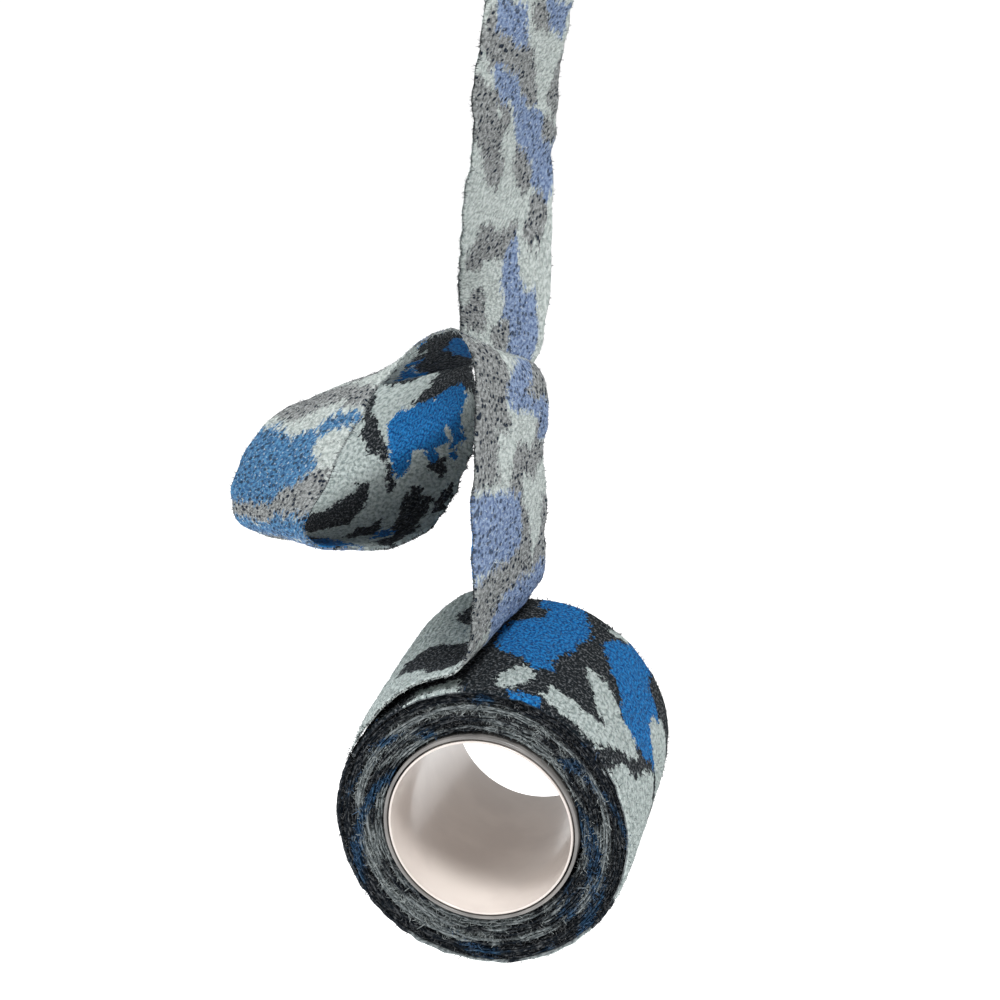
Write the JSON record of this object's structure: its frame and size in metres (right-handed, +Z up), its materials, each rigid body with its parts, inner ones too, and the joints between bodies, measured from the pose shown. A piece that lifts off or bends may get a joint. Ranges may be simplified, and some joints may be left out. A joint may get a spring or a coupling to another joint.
{
  "type": "hand wrap",
  "caption": "Hand wrap: a cohesive elastic bandage wound on a tube, with its free tail held up in a loose curl and peeling off the top of the roll.",
  "frame": {"origin": "middle of the tail's held top end, where a hand or clip holds the wrap up", "axes": "+Z up along the hanging tail, +Y along the roll's axis away from its near end face, +X to the side that the tail's pale back faces"},
  "size_m": [0.0876, 0.1009, 0.1856],
  "materials": {
    "wrap_printed": "crinkled elastic knit, camouflage print in royal blue, mint and charcoal, matt",
    "wrap_pale": "back of the same knit, the print showing through paler, grey speckle, matt",
    "wound_edge": "fuzzy cut selvedges of the wound turns, matt",
    "start_tape": "double-sided tissue tape, satin",
    "core_tube": "thin greyish plastic tube, satin lip",
    "core_liner": "smooth pinkish white inner wall, glossy"
  },
  "bodies": {
    "held_tail": {"held_end": "wrap_pale", "tail_upper": "wrap_pale"},
    "tail_middle": {"tail_middle": "wrap_pale"},
    "curl": {"curl_back": "wrap_pale", "curl_front": "wrap_printed"},
    "lower_tail": {"lower_tail": "wrap_pale", "payout_strip": "wrap_pale"},
    "peel_front": {"lifted_turn": "wrap_printed"},
    "roll": {"outermost_turn": "wrap_printed", "outer_turns": "wound_edge", "middle_turns": "wound_edge", "inner_turns": "wound_edge", "start_tape": "start_tape", "core_tube": "core_tube", "core_liner": "core_liner"}
  },
  "joints": [
    {"name": "tail_stretch", "type": "slide", "parent": "held_tail", "child": "tail_middle", "axis": [0, 0, -1], "range_m": [0, 0.012], "stiffness_N_per_m": 700, "springref_m": -0.0008, "deforming": ["tail_upper"]},
    {"name": "tail_twist", "type": "hinge", "parent": "tail_middle", "child": "curl", "pos_m": [-0.012, 0.0233, -0.0455], "axis": [0, 0, 1], "range_deg": [-25, 25], "stiffness_Nm_per_rad": 0.004},
    {"name": "tail_swing", "type": "hinge", "parent": "curl", "child": "lower_tail", "pos_m": [-0.0034, -0.018, -0.086], "axis": [0, 1, 0], "range_deg": [-20, 20]},
    {"name": "payout", "type": "slide", "parent": "lower_tail", "child": "peel_front", "axis": [0, 0, -1], "range_m": [0, 0.025], "deforming": ["payout_strip"]},
    {"name": "roll_spin", "type": "hinge", "parent": "peel_front", "child": "roll", "pos_m": [-0.0034, -0.018, -0.158], "axis": [0, 1, 0], "range_deg": [-1, 52]}
  ],
  "couplings": [
    {"joint": "roll_spin", "follows": "payout", "rad_per_m": 35.714}
  ]
}
